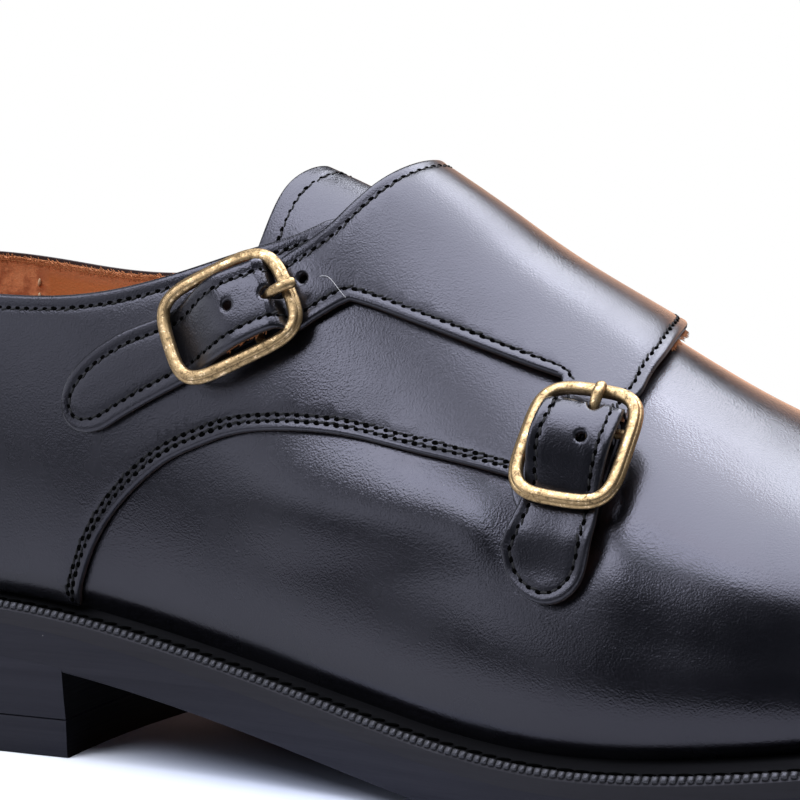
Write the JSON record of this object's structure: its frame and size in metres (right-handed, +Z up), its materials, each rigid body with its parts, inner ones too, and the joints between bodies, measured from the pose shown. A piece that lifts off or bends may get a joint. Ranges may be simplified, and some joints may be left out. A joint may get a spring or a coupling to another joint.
{
  "type": "double monk-strap shoe",
  "caption": "Black leather dress shoe for the right foot, closed over the instep by overlapping straps with brass buckles, on a welted sole with a low heel.",
  "frame": {"origin": "on the floor under the middle of the whole shoe", "axes": "+X from heel to toe, +Y towards the inner side of the right foot, +Z up"},
  "size_m": [0.3071, 0.102, 0.1162],
  "materials": {
    "black_calf": "smooth black calf with a fine grain and a soft polish",
    "tan_lining": "tan calf lining, dull",
    "insole_leather": "tan sock leather, dull",
    "welt_edge": "black waxed leather edge",
    "heel_edge": "black waxed leather lifts",
    "rubber_sole": "black rubber, satin edge",
    "antique_brass": "antique brass, mottled",
    "black_thread": "waxed black thread",
    "pale_thread": "pale thread of the lining's seams"
  },
  "bodies": {
    "root": {"upper": "black_calf", "tongue": "black_calf", "quarter_outer": "black_calf", "quarter_inner": "black_calf", "back_strip": "black_calf", "welt": "welt_edge", "midsole": "welt_edge", "outsole": "rubber_sole", "heel_stack": "heel_edge", "top_piece": "rubber_sole", "insole": "insole_leather", "buckle_rear": "antique_brass", "buckle_front": "antique_brass", "prong_rear": "antique_brass", "prong_front": "antique_brass", "chape_rear": "black_calf", "chape_front": "black_calf"}
  },
  "joints": []
}
